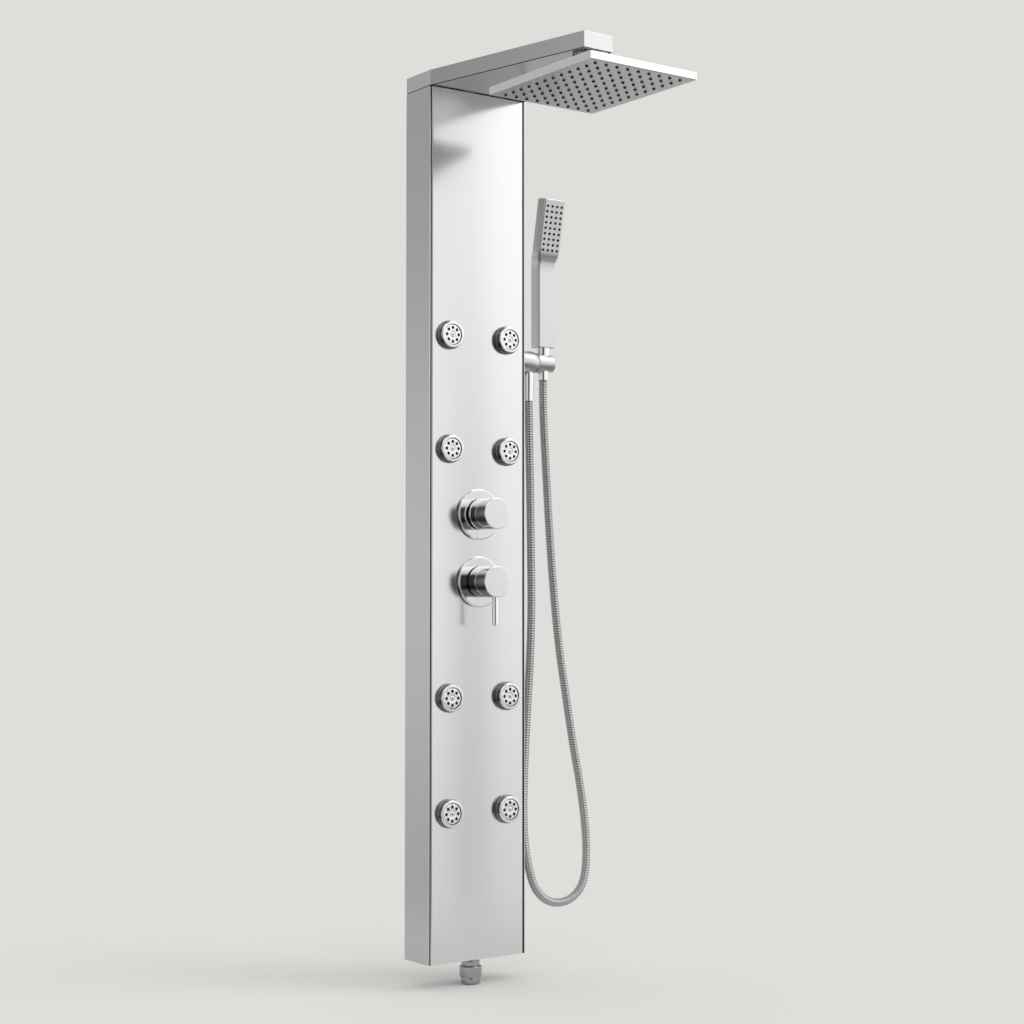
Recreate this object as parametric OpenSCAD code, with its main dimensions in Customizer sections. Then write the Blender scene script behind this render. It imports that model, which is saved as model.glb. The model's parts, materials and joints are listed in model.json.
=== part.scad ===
// Shower panel column: a wall-hung stainless column with a rain head on a tapered top arm,
// eight body jets, a diverter, a lever mixer and a hand shower on a ribbed hose.
// Millimetres. +Z is up, the user stands on the -Y side, and +X is to the user's right.
// The origin is on the wall plane, in the middle of the four wall screws.

/* [Column] */
// Width of the column
column_w = 188; // [180:1:200]
// Height of the column, without the top arm
column_h = 1400; // [1360:1:1500]
// Depth of the column from the wall to its front face
column_d = 70; // [70:1:80]
// Thickness of the stainless sheet
sheet_t = 1.5; // [1.2:0.1:1.8]
// Radius of the front plate's folded edges
fold_r = 2.5; // [2:0.1:3]
// Width of the black joint between the front plate and each side
joint_w = 2.4; // [2:0.1:3]

/* [Top arm] */
// Height of the arm
arm_h = 25; // [25:1:30]
// Reach of the arm in front of the column
arm_reach = 315; // [300:1:340]
// Width of the arm at its tip
arm_tip_w = 55; // [52:1:70]

/* [Rain head] */
// Width of the rain head, across the column
head_w = 200; // [190:1:220]
// Length of the rain head, away from the wall
head_l = 250; // [240:1:260]
// Thickness of the rain head
head_t = 12; // [12:1:14]
// Gap from the column's top to the head's top face
head_gap = 42; // [42:1:46]
// Pitch of the nozzle grid
nozzle_pitch = 20; // [19:0.5:20]
// Nozzles across the head
nozzle_cols = 9; // [5:1:9]
// Nozzles along the head
nozzle_rows = 12; // [6:1:12]

/* [Body jets] */
// Diameter of a jet's chrome bezel
jet_d = 43; // [43:0.5:46]
// How far a jet stands out of the front face
jet_proud = 12; // [12:0.5:14]
// Distance between the left and the right jets
jet_spread = 113; // [110:1:116]
// Height of the lowest jets above the column's bottom
jet_low_z = 236; // [230:1:240]
// Height of the highest jets above the column's bottom
jet_high_z = 1000; // [995:1:1010]
// Distance between the two rows of each jet group
jet_pitch = 183; // [175:1:190]

/* [Controls] */
// Diameter of the round cover plate behind each knob
rose_d = 82; // [78:1:90]
// Thickness of the round cover plate
rose_t = 6; // [5:0.5:7]
// Diameter of both knobs
knob_d = 50; // [50:1:54]
// How far the knobs' faces stand out of the front face
knob_proud = 55; // [54:0.5:58]
// Height of the diverter above the column's bottom
diverter_z = 713; // [708:1:716]
// Height of the mixer above the column's bottom
mixer_z = 604; // [600:1:608]
// Diameter of the mixer's lever
lever_d = 10; // [8:0.5:10]
// Length of the lever below the mixer's axis
lever_l = 70; // [60:1:80]

/* [Hand shower] */
// Width of the handle
handle_w = 34; // [32:1:36]
// Depth of the handle
handle_d = 24; // [22:1:25]
// Length of the handle
handle_l = 144; // [130:1:150]
// Width of the spray part
spray_w = 43; // [41:1:45]
// Depth of the spray part
spray_d = 22; // [20:1:23]
// Length of the spray part
spray_l = 97; // [94:1:100]
// How far the spray part leans forward
spray_lean = 11; // [9:1:13]

/* [Hidden] */
$fn = 64;

// Colours, as the photo shows them
satin = "#c9cbcc";
side_grey = "#a2a4a5";
chrome = "#dfe2e4";
black = "#1b1c1d";
nozzle_grey = "#34373a";
brass = "#b9975b";
pipe_grey = "#8f9498";

// Distance kept between faces that slide past each other
slide_gap = 0.3;
// Radial clearance of a spindle or a pin in its bore
run_gap = 0.05;
// Overshoot of a cutting tool past the face that it opens
cut = 1;

// Column: the seam under the arm, the inner faces and the half widths
seam_h = 1.4;
top_z = column_h - 1;
arm_z = top_z + seam_h;
arm_top_z = column_h + arm_h;
inner_x = column_w / 2 - sheet_t;
plate_x = inner_x - joint_w;
plate_back = sheet_t - column_d;
side_front = 0.6 - column_d;
tray_depth = 14;
seal_in = 1.6;
seal_d = 5;
back_lip = 18;

// Wall fixing: two brackets, each with two screw holes
bracket_inset = 150;
bracket_z = [bracket_inset, column_h - bracket_inset];
bracket_w = 124;
bracket_h = 40;
bracket_t = 2;
screw_spread = 100;
screw_r = 3.25;
hook_gap = 4;
hook_h = 10;
rail_t = 4;
rail_h = 14;

// Arm: the underplate lies inside the skirt, with a black joint round it
arm_joint = 3.5;
fold_joint_w = 2;
fold_joint_deep = 0.7;
arm_slope = (column_w - arm_tip_w) / 2 / arm_reach;
arm_secant = sqrt(1 + arm_slope * arm_slope);
under_return = 8;
feed_r = 8;
pipe_wall = 1;
feed_y = -36;
feed_z = arm_z + 12;

// Rain head: its ball, its socket and its place
head_top_z = column_h - head_gap;
head_y = -column_d - arm_reach + 27;
head_forward = 10;
head_skin = 1.2;
ball_r = 12;
ball_z = head_top_z + 22;
seat_t = 2.7;
socket_r = 23;
socket_bottom = ball_z - 13;
socket_mouth_r = 10.8;
socket_wide_r = 12.6;
flute_r = 1.7;
flute_count = 20;
nipple_r = 10.4;
stem_r = 6.5;
spigot_r = 5;
hub_r = 11;
hub_h = 4;
mat_t = 2;
nozzle_r = 2.6;
nozzle_tip_r = 2;
nozzle_out = 2;

// Jets: a fixed bezel screwed through the plate, and a ball-shaped insert
jet_xz = [
  for (z = [jet_high_z, jet_high_z - jet_pitch, jet_low_z + jet_pitch, jet_low_z])
    for (side = [-1, 1]) [side * jet_spread / 2, z]
];
jet_thread_r = 18.9;
jet_hole_r = 19.2;
jet_bore_r = 17.6;
jet_lip_r = 16.9;
jet_seat_r = 15;
jet_seat_z = -8;
insert_r = jet_bore_r - slide_gap;
insert_face = 7;
insert_ball_z = 3.5;
insert_hollow_r = 14;
insert_wall = 4;
jet_back = -20;
jet_washer_t = 1;
jet_pipe_r = 7;
jet_pipe_y = -24;
jet_hole_ring = 11.2;
jet_hole_d = 5.2;
jet_centre_r = 1.6;
jet_edge = 2;
jet_flange_r = 23.2;
jet_flange_h = 4.5;

// Controls: the sleeve of each valve stands in the knob's hollow back
sleeve_r = 22;
sleeve_out = 20;
knob_gap = 3;
knob_back = rose_t + knob_gap;
knob_hollow_r = 22.9;
spindle_r = 4;
valve_r = 25;
valve_back = 56;
lever_y = knob_proud - 6.6;

// Supply: threaded nipples on the mixer, G1/2, and the pipe to the bottom union
thread_r = 10.48;
inlet_x = 28;
inlet_y = -34;
inlet_l = 16;
inlet_drop = 35;
union_y = -50;
union_r = 18;
collar_r = 15.3;
union_bore_r = 9.3;
service_r = 7.5;

// Holder: a fixed half that is also the hose outlet, and a half that swivels about X
holder_y = -42;
holder_z = 971;
holder_r = 19;
swivel_r = 16.5;
seam_x = column_w / 2 + 41;
swivel_end = column_w / 2 + 75;
outlet_x = column_w / 2 + 28;
handset_x = column_w / 2 + 58;
pivot_r = 9;
pivot_l = 5;
tail_r = thread_r;

// Cone nut of the hose, seated in the swivel half
nut_low_z = 943;
nut_high_z = 997;
nut_low_r = 9;
nut_high_r = 12;
nut_bore_r = 7.6;
nut_thread_z = 985;
slot_w = 15.6;

// Hand shower
shell_r = 2;
shoulder_l = 9;
shell_wall = 2;
spray_margin = 16;
spray_cols = 4;
spray_rows = 9;
spray_pitch_x = 9.6;
spray_pitch_z = (spray_l - 2 * spray_margin + 8) / (spray_rows - 1);
spray_nozzle_r = 2.3;
spray_nozzle_out = 1.2;

// Hose: a ribbed tube along hand-chosen points, measured from the column's bottom
hose_r = 7;
hose_valley_r = 6.4;
hose_bore_r = 5.5;
hose_sides = 8;
hose_ribs = 180;
hose_bore_rings = 100;
hose_top_z = 950;
hose_end_z = 984;
hose_route = [
  [122, -42, hose_top_z], [122, -42, 934], [122, -42, 912], [123, -42, 850], [125, -42, 760],
  [126, -43, 650], [126, -44, 560], [122, -45, 470], [115, -46, 380], [109, -47, 290],
  [107, -48, 215], [111, -49, 160], [122, -50, 115], [136, -50, 91], [156, -50, 76],
  [180, -50, 71], [204, -50, 76], [223, -50, 91], [234, -49, 115], [238, -48, 155],
  [235, -47, 205], [226, -46, 265], [211, -45, 340], [197, -44, 420], [184, -43, 500],
  [174, -42, 590], [166, -42, 680], [159, -42, 780], [153.5, -42, 870], [152, -42, 915],
  [152, -42, 940], [152, -42, 962], [152, -42, hose_end_z]
];

// Everything below is drawn with z measured from the column's bottom, then lowered by half
// the column's height, to put the origin in the middle of the wall screws.
module column() {
  translate([0, 0, -column_h / 2]) children();
}

// Local +Z points out of the front face, at a place on that face
module out_of_front(x, z) {
  translate([x, -column_d, z]) rotate([90, 0, 0]) children();
}

// Local +Z points along +X, on the holder's axis
module along_holder() {
  translate([0, holder_y, holder_z]) rotate([0, 90, 0]) children();
}

// Profile of a turned ring whose outer front edge is rounded
module ring_profile(r_in, r_out, z_low, z_high, edge) {
  translate([r_in, z_low]) square([r_out - edge - r_in, z_high - z_low]);
  translate([r_in, z_low]) square([r_out - r_in, z_high - edge - z_low]);
  translate([r_out - edge, z_high - edge]) circle(edge);
}

module turned_ring(r_in, r_out, z_low, z_high, edge) {
  rotate_extrude() ring_profile(r_in, r_out, z_low, z_high, edge);
}

module tube(r_in, r_out, z_low, z_high) {
  difference() {
    translate([0, 0, z_low]) cylinder(h = z_high - z_low, r = r_out);
    translate([0, 0, z_low - cut]) cylinder(h = z_high - z_low + 2 * cut, r = r_in);
  }
}

// Line of straight pipes through a list of points, with a ball at each bend
module pipe_line(points, r) {
  for (i = [0 : len(points) - 2]) let (way = points[i + 1] - points[i])
    translate(points[i]) rotate([0, acos(way[2] / norm(way)), atan2(way[1], way[0])])
      cylinder(h = norm(way), r = r);
  for (i = [1 : 1 : len(points) - 2]) translate(points[i]) sphere(r);
}

// The same line, bored from end to end
module hollow_pipe(points, r) {
  last = len(points) - 1;
  first_point = points[0] + cut * unit(points[0] - points[1]);
  last_point = points[last] + cut * unit(points[last] - points[last - 1]);
  difference() {
    pipe_line(points, r);
    pipe_line([first_point, for (i = [1 : 1 : last - 1]) points[i], last_point], r - pipe_wall);
  }
}

module box(x, y, z) {
  translate([x[0], y[0], z[0]]) cube([x[1] - x[0], y[1] - y[0], z[1] - z[0]]);
}

// Two folded side sheets, with lips that lie on the wall
module side_sheets() {
  color(side_grey) column() difference() {
    linear_extrude(top_z) difference() {
      translate([-column_w / 2, side_front]) square([column_w, -side_front]);
      translate([-inner_x, side_front - cut]) square([2 * inner_x, cut - side_front - sheet_t]);
      translate([back_lip - inner_x, -2 * sheet_t]) square([2 * (inner_x - back_lip), 3 * sheet_t]);
    }
    along_holder() translate([0, 0, inner_x - cut]) cylinder(h = sheet_t + 2 * cut, r = tail_r + 0.2);
  }
}

// Front tray with rounded vertical folds and returns behind them
module front_plate() {
  color(satin) column() difference() {
    linear_extrude(top_z) difference() {
      union() {
        translate([-plate_x, fold_r - column_d]) square([2 * plate_x, tray_depth - fold_r]);
        translate([fold_r - plate_x, -column_d]) square([2 * (plate_x - fold_r), tray_depth]);
        for (side = [-1, 1])
          translate([side * (plate_x - fold_r), fold_r - column_d]) circle(fold_r);
      }
      translate([sheet_t - plate_x, plate_back]) square([2 * (plate_x - sheet_t), tray_depth]);
    }
    for (p = jet_xz)
      out_of_front(p[0], p[1]) translate([0, 0, -5]) cylinder(h = 10, r = jet_hole_r);
    for (z = [diverter_z, mixer_z])
      out_of_front(0, z) translate([0, 0, -5]) cylinder(h = 10, r = sleeve_r + 0.4);
  }
}

// Black strips in the joints beside the front plate, just behind its rounded folds
module corner_seals() {
  color(black) column() for (side = [-1, 1])
    translate([side * (plate_x + joint_w / 2), 0, 0])
      box([-joint_w / 2, joint_w / 2], [seal_in - column_d, seal_in + seal_d - column_d], [0, top_z]);
}

// Floor of the column, with a rear upstand and the hole for the union
module bottom_cap() {
  floor_low = 1;
  upstand = 16;
  color(side_grey) column() difference() {
    union() {
      box([sheet_t - plate_x, plate_x - sheet_t], [plate_back, -sheet_t], [floor_low, floor_low + sheet_t]);
      box([-inner_x, inner_x], [tray_depth - column_d, -sheet_t], [floor_low, floor_low + sheet_t]);
      box([back_lip - inner_x, inner_x - back_lip], [-sheet_t, 0], [floor_low, upstand]);
    }
    translate([0, union_y, 0]) cylinder(h = 5, r = service_r + 0.2);
  }
}

// Brackets that are screwed to the wall: each has a hook that the column hangs on
module wall_brackets() {
  color(pipe_grey) column() for (z = bracket_z) translate([0, 0, z]) difference() {
    union() {
      box([-bracket_w / 2, bracket_w / 2], [-bracket_t, 0], [-bracket_h / 2, bracket_h / 2]);
      box([-bracket_w / 2, bracket_w / 2], [-2 * bracket_t - hook_gap, 0],
          [bracket_h / 2 - bracket_t, bracket_h / 2]);
      box([-bracket_w / 2, bracket_w / 2], [-2 * bracket_t - hook_gap, -bracket_t - hook_gap],
          [bracket_h / 2 - bracket_t, bracket_h / 2 + hook_h]);
    }
    for (side = [-1, 1])
      translate([side * screw_spread / 2, cut, 0]) rotate([90, 0, 0])
        cylinder(h = bracket_t + 2 * cut, r = screw_r);
  }
}

// Rails behind the lips of the casing, which rest on the brackets' hooks
module hang_rails() {
  color(side_grey) column() for (z = bracket_z)
    box([2 - inner_x, inner_x - 2], [-sheet_t - rail_t, -sheet_t],
        [z + bracket_h / 2, z + bracket_h / 2 + rail_h]);
}

// Plan of the arm, drawn in by t on every side
function arm_plan(t) = let (
    side_x = column_w / 2 - t,
    fold_y = -column_d + (arm_secant - 1) * t / arm_slope,
    tip_x = arm_tip_w / 2 + (arm_slope - arm_secant) * t,
    tip_y = t - column_d - arm_reach
  ) [[-side_x, -t], [-side_x, fold_y], [-tip_x, tip_y], [tip_x, tip_y], [side_x, fold_y], [side_x, -t]];

// The part of that plan in front of the column
module arm_front_plan(t) {
  intersection() {
    polygon(arm_plan(t));
    translate([-column_w, -column_d - 2 * arm_reach - 0.5]) square([2 * column_w, 2 * arm_reach]);
  }
}

// Cover of the arm: a tapered lid with a skirt all round, and a fine joint where its sides fold
module arm_shell() {
  color(side_grey) column() difference() {
    translate([0, 0, arm_z]) linear_extrude(arm_top_z - arm_z) polygon(arm_plan(0));
    translate([0, 0, arm_z - cut])
      linear_extrude(arm_top_z - arm_z - sheet_t + cut) polygon(arm_plan(sheet_t));
    for (side = [-1, 1]) translate([side * (column_w / 2 + cut - fold_joint_deep), 0, 0])
      box([-cut, cut], [-column_d, fold_joint_w - column_d], [arm_z - cut, arm_top_z + cut]);
  }
}

// Tray that closes the arm from below
module arm_underplate() {
  t = sheet_t + arm_joint;
  color(side_grey) column() difference() {
    translate([0, 0, arm_z]) linear_extrude(under_return) arm_front_plan(t);
    translate([0, 0, arm_z + sheet_t]) linear_extrude(under_return) arm_front_plan(t + sheet_t);
    translate([0, head_y, arm_z - cut]) cylinder(h = sheet_t + 2 * cut, r = nipple_r + 0.3);
  }
}

// Black joint round the underplate, and the gasket between column and arm
module arm_seals() {
  gasket_out = 1;
  gasket_w = 7;
  color(black) column() {
    translate([0, 0, arm_z + 0.5]) linear_extrude(5) difference() {
      arm_front_plan(sheet_t);
      arm_front_plan(sheet_t + arm_joint);
    }
    translate([0, 0, top_z]) linear_extrude(seam_h) difference() {
      translate([gasket_out - column_w / 2, gasket_out - column_d])
        square([column_w - 2 * gasket_out, column_d - 2 * gasket_out]);
      translate([gasket_w - column_w / 2, gasket_w - column_d])
        square([column_w - 2 * gasket_w, column_d - 2 * gasket_w]);
    }
  }
}

// Brass pipe in the arm, with its front elbow and the nipple for the socket
module arm_feed_pipe() {
  elbow_r = 11;
  elbow_h = 19;
  color(brass) column() difference() {
    union() {
      pipe_line([[0, feed_y, top_z - 5], [0, feed_y, feed_z], [0, head_y, feed_z]], feed_r);
      translate([0, head_y, arm_z + sheet_t]) cylinder(h = elbow_h, r = elbow_r);
      translate([0, head_y, ball_z + 16]) cylinder(h = arm_z + sheet_t - ball_z - 16, r = nipple_r);
    }
    pipe_line([[0, feed_y, top_z - 5 - cut], [0, feed_y, feed_z], [0, head_y, feed_z]], feed_r - pipe_wall);
    translate([0, head_y, ball_z + 16 - cut])
      cylinder(h = feed_z - ball_z - 16 + cut, r = feed_r - pipe_wall);
  }
}

// Fluted socket nut under the arm, round the rain head's ball
module swivel_socket() {
  chamfer = 1.5;
  high = arm_z - socket_bottom;
  color(chrome) column() translate([0, head_y, 0]) difference() {
    translate([0, 0, socket_bottom]) rotate_extrude() polygon([
      [0, 0], [socket_r - chamfer, 0], [socket_r, chamfer],
      [socket_r, high - chamfer], [socket_r - chamfer, high], [0, high]
    ]);
    for (i = [0 : flute_count - 1])
      rotate(i * 360 / flute_count) translate([socket_r + 0.5, 0, socket_bottom - cut])
        cylinder(h = high + 2 * cut, r = flute_r, $fn = 24);
    translate([0, 0, ball_z]) sphere(ball_r + seat_t + 2 * slide_gap);
    translate([0, 0, ball_z]) cylinder(h = high, r = nipple_r + run_gap);
    translate([0, 0, socket_bottom - cut]) cylinder(h = ball_z - socket_bottom, r = socket_mouth_r);
    translate([0, 0, socket_bottom - cut])
      cylinder(h = 3, r1 = socket_wide_r + 0.8, r2 = socket_mouth_r);
  }
}

// Zone of a ball-shaped shell, between two heights from the ball's centre
module seat_zone(z_low, z_high) {
  color(nozzle_grey) column() translate([0, head_y, ball_z]) difference() {
    sphere(ball_r + slide_gap + seat_t);
    sphere(ball_r + slide_gap);
    translate([0, 0, z_high]) cylinder(h = 30, r = 30);
    translate([0, 0, z_low - 30]) cylinder(h = 30, r = 30);
  }
}

module upper_ball_seat() {
  seat_zone(2.2, 8);
}

module lower_ball_seat() {
  seat_zone(-8, -2.2);
}

// Ball and hollow stem that carry the rain head
module head_ball() {
  color(chrome) column() translate([0, head_y, 0]) difference() {
    union() {
      translate([0, 0, ball_z]) sphere(ball_r);
      translate([0, 0, head_top_z + hub_h]) cylinder(h = ball_z - head_top_z - hub_h, r = stem_r);
      translate([0, 0, head_top_z - 3]) cylinder(h = 10, r = spigot_r);
    }
    translate([0, 0, head_top_z - 5]) cylinder(h = 60, r = 3);
  }
}

// Slab of the rain head's plan, drawn in by t
module head_slab(t, z_low, z_high) {
  middle_y = head_y - head_forward;
  half_w = head_w / 2 - t;
  half_l = head_l / 2 - t;
  box([-half_w, half_w], [middle_y - half_l, middle_y + half_l], [z_low, z_high]);
}

// Thin pan that forms the head's top and sides, with a hub for the stem
module head_cover() {
  head_low = head_top_z - head_t;
  color(chrome) column() difference() {
    union() {
      head_slab(0, head_low, head_top_z);
      translate([0, head_y, head_top_z]) cylinder(h = hub_h, r = hub_r);
    }
    head_slab(head_skin, head_low - cut, head_top_z - head_skin);
    translate([0, head_y, head_low]) cylinder(h = 30, r = spigot_r + run_gap);
  }
}

module at_nozzles() {
  for (i = [0 : nozzle_cols - 1], j = [0 : nozzle_rows - 1])
    translate([
      (i - (nozzle_cols - 1) / 2) * nozzle_pitch,
      head_y - head_forward + (j - (nozzle_rows - 1) / 2) * nozzle_pitch,
      head_top_z - head_t
    ]) children();
}

// Spray plate: a stepped edge inside the pan, an upstand and a hole for each nozzle
module head_plate() {
  low = head_top_z - head_t;
  step = 0.7;
  color(satin) column() difference() {
    union() {
      head_slab(head_skin + 0.8, low, low + step);
      head_slab(head_skin, low + step, low + 6);
    }
    head_slab(2 * head_skin, low + sheet_t, low + 10);
    at_nozzles() translate([0, 0, -cut]) cylinder(h = sheet_t + 2 * cut, r = nozzle_r + run_gap);
  }
}

// One-piece rubber mat behind the spray plate, whose nozzles stand through its holes
module head_nozzles() {
  low = head_top_z - head_t;
  color(nozzle_grey) column() {
    head_slab(2 * head_skin + 1, low + sheet_t, low + sheet_t + mat_t);
    at_nozzles() cylinder(h = sheet_t + mat_t / 2, r = nozzle_r);
    at_nozzles() translate([0, 0, -nozzle_out])
      cylinder(h = nozzle_out, r1 = nozzle_tip_r, r2 = nozzle_r);
  }
}

// Chrome bezel with its threaded tube, which ends in a wall behind the panel
module jet_bezel(n) {
  p = jet_xz[n - 1];
  color(chrome) column() out_of_front(p[0], p[1]) difference() {
    union() {
      turned_ring(jet_lip_r, jet_d / 2, jet_washer_t, jet_proud, jet_edge);
      turned_ring(jet_lip_r, jet_flange_r, jet_washer_t, jet_flange_h, 1);
      translate([0, 0, jet_back]) cylinder(h = jet_washer_t - jet_back + 1, r = jet_thread_r);
    }
    translate([0, 0, jet_seat_z]) cylinder(h = jet_proud - 2 - jet_seat_z, r = jet_bore_r);
    translate([0, 0, jet_back + 2]) cylinder(h = jet_seat_z - jet_back, r = jet_seat_r);
    translate([0, 0, jet_proud - 3]) cylinder(h = 5, r = jet_lip_r);
    translate([0, 0, jet_back - cut]) cylinder(h = 5, r = 4);
  }
}

// Swivelling insert: a ball zone with a dished face, eight jet holes and a centre nozzle
module jet_insert(n) {
  p = jet_xz[n - 1];
  face = insert_ball_z + insert_face;
  color(satin) column() out_of_front(p[0], p[1]) difference() {
    intersection() {
      translate([0, 0, insert_ball_z]) sphere(insert_r);
      translate([0, 0, insert_ball_z - insert_face]) cylinder(h = 2 * insert_face, r = 2 * insert_r);
    }
    translate([0, 0, face - 0.8]) tube(4.1, 5, 0, 2);
    translate([0, 0, face - insert_wall - cut]) cylinder(h = insert_wall + 2 * cut, r = jet_centre_r);
    for (i = [0 : 7])
      rotate(i * 45) translate([jet_hole_ring, 0, face - insert_wall - cut])
        cylinder(h = insert_wall + 2 * cut, r = jet_hole_d / 2);
    translate([0, 0, face - 2 * insert_face - cut])
      cylinder(h = 2 * insert_face + cut - insert_wall, r = insert_hollow_r);
  }
}

// Rubber washers between the bezels and the front plate
module jet_washers() {
  color(black) column() for (p = jet_xz)
    out_of_front(p[0], p[1]) tube(jet_hole_r, jet_flange_r - 1, 0, jet_washer_t);
}

// Hexagon nuts that hold the jets from behind
module jet_locknuts() {
  color(pipe_grey) column() for (p = jet_xz)
    out_of_front(p[0], p[1]) difference() {
      translate([0, 0, -sheet_t - 6]) cylinder(h = 6, r = 25, $fn = 6);
      translate([0, 0, -sheet_t - 8]) cylinder(h = 10, r = jet_thread_r + run_gap);
    }
}

// Two risers that feed the jets, with a branch to each jet and a cross pipe to the diverter
module jet_pipes() {
  end = 14;
  branch_r = jet_pipe_r - 1;
  color(pipe_grey) column() difference() {
    union() {
      for (side = [-1, 1])
        translate([side * jet_spread / 2, jet_pipe_y, jet_low_z - end])
          cylinder(h = jet_high_z - jet_low_z + 2 * end, r = jet_pipe_r);
      for (p = jet_xz)
        translate([p[0], jet_pipe_y, p[1]]) rotate([90, 0, 0])
          cylinder(h = column_d + jet_back + jet_pipe_y, r = branch_r);
      translate([-jet_spread / 2, jet_pipe_y, diverter_z]) rotate([0, 90, 0])
        cylinder(h = jet_spread, r = branch_r);
    }
    for (side = [-1, 1])
      translate([side * jet_spread / 2, jet_pipe_y, jet_low_z - end + 2])
        cylinder(h = jet_high_z - jet_low_z + 2 * end - 4, r = jet_pipe_r - pipe_wall);
    for (p = jet_xz)
      translate([p[0], jet_pipe_y, p[1]]) rotate([90, 0, 0])
        cylinder(h = column_d + jet_back + jet_pipe_y + cut, r = branch_r - 2 * pipe_wall);
    valve_space(diverter_z);
  }
}

// Space that a valve's body fills, cut out of the pipes that end on it
module valve_space(z) {
  out_of_front(0, z) translate([0, 0, -valve_back]) cylinder(h = valve_back - sheet_t - 8, r = valve_r);
}

// Round cover plate behind a knob
module rose(z) {
  color(chrome) column() out_of_front(0, z) turned_ring(sleeve_r + 0.4, rose_d / 2, 0, rose_t, 2);
}

module diverter_rose() {
  rose(diverter_z);
}

module mixer_rose() {
  rose(mixer_z);
}

// Brass valve: a body behind the plate and a sleeve through it, bored for the spindle
module valve_body(z) {
  out_of_front(0, z) difference() {
    union() {
      translate([0, 0, -valve_back]) cylinder(h = valve_back - sheet_t - 8, r = valve_r);
      translate([0, 0, -sheet_t - 9]) cylinder(h = sheet_t + 9 + sleeve_out, r = sleeve_r);
    }
    translate([0, 0, -20]) cylinder(h = 60, r = spindle_r + run_gap);
  }
}

module diverter_valve() {
  color(brass) column() valve_body(diverter_z);
}

// The mixer's body also has the two threaded inlets, which point down
module mixer_valve() {
  color(brass) column() {
    valve_body(mixer_z);
    translate([-inlet_x, inlet_y, mixer_z]) rotate([0, 90, 0]) cylinder(h = 2 * inlet_x, r = 11);
    for (side = [-1, 1]) translate([side * inlet_x, inlet_y, mixer_z]) {
      sphere(12);
      translate([0, 0, inlet_l - inlet_drop]) cylinder(h = inlet_drop - inlet_l, r = 12);
      translate([0, 0, -inlet_drop]) cylinder(h = inlet_drop, r = thread_r);
    }
  }
}

// Ring nuts that clamp the valves to the front plate
module valve_locknuts() {
  color(pipe_grey) column() for (z = [diverter_z, mixer_z])
    out_of_front(0, z) tube(sleeve_r + run_gap, 28, -sheet_t - 8, -sheet_t);
}

// Pipe from the mixer up to the diverter
module link_pipe() {
  color(brass) column() difference() {
    hollow_pipe([[0, union_y, mixer_z], [0, union_y, diverter_z]], feed_r);
    valve_space(mixer_z);
    valve_space(diverter_z);
  }
}

// Pipe from the diverter up into the arm
module rain_pipe() {
  color(brass) column() difference() {
    hollow_pipe([[0, feed_y, diverter_z], [0, feed_y, top_z - 5]], feed_r);
    valve_space(diverter_z);
  }
}

// Pipe from the diverter up and across to the hose outlet
module handset_pipe() {
  x = 34;
  color(brass) column() difference() {
    hollow_pipe([
      [0, holder_y, diverter_z],
      [x, holder_y, diverter_z],
      [x, holder_y, holder_z],
      [inner_x - 20, holder_y, holder_z]
    ], 6);
    valve_space(diverter_z);
  }
}

// Pipe from the mixer down to the union
module service_pipe() {
  color(brass) column() difference() {
    hollow_pipe([[0, union_y, 0], [0, union_y, mixer_z]], service_r);
    valve_space(mixer_z);
  }
}

// Chrome neck under the column
module union_neck() {
  color(chrome) column() translate([0, union_y, 0]) difference() {
    rotate_extrude() polygon([[0, -40.5], [collar_r - 1.5, -40.5], [collar_r, -39],
      [collar_r, -30], [14, -30], [14, -11], [collar_r - 0.6, -11], [collar_r - 0.6, -4],
      [13.4, -3], [13.4, 0], [0, 0]]);
    translate([0, 0, -41.5]) cylinder(h = 13, r = union_bore_r);
    translate([0, 0, -30]) cylinder(h = 40, r = 6);
  }
}

// Chrome nut round the neck
module union_nut() {
  color(chrome) column() translate([0, union_y, -30.2]) rotate_extrude() polygon([
    [14.1, 0.2], [union_r - 1, 0.2], [union_r, 1.2], [union_r, 17], [union_r - 2, 19], [14.1, 19]
  ]);
}

// Fixed half of the holder: a flared body, a pivot for the swivel and a tail into the column
module holder_base() {
  flare = 6;
  color(satin) column() difference() {
    along_holder() {
      translate([0, 0, column_w / 2]) rotate_extrude() union() {
        square([swivel_r, seam_x - column_w / 2]);
        square([holder_r, seam_x - column_w / 2 - 16]);
        translate([0, seam_x - column_w / 2 - 16]) polygon([
          [0, 0],
          for (a = [0 : 15 : 90]) [swivel_r + (holder_r - swivel_r) * cos(a), 2 * flare * sin(a)],
          [0, 2 * flare]
        ]);
      }
      translate([0, 0, seam_x - cut]) cylinder(h = pivot_l + cut, r = pivot_r);
      translate([0, 0, inner_x - 20]) cylinder(h = 20 + sheet_t + cut, r = tail_r);
    }
    translate([outlet_x, holder_y, holder_z - 30]) cylinder(h = 18, r = 8 + run_gap);
  }
}

// Nut inside the column that holds the fixed half
module holder_locknut() {
  color(pipe_grey) column() along_holder() difference() {
    translate([0, 0, inner_x - 7]) cylinder(h = 7, r = 16, $fn = 6);
    translate([0, 0, inner_x - 10]) cylinder(h = 20, r = tail_r + run_gap);
  }
}

// Tapered ferrule where the hose leaves the fixed half
module hose_ferrule() {
  color(chrome) column() translate([outlet_x, holder_y, 0]) difference() {
    union() {
      translate([0, 0, hose_top_z]) cylinder(h = holder_z - 12 - hose_top_z, r = 8);
      translate([0, 0, 937]) cylinder(h = hose_top_z - 937, r1 = 7.9, r2 = 9);
    }
    translate([0, 0, 930]) cylinder(h = hose_top_z - 930, r = hose_r + slide_gap);
    translate([0, 0, 930]) cylinder(h = 60, r = hose_bore_r);
  }
}

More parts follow.
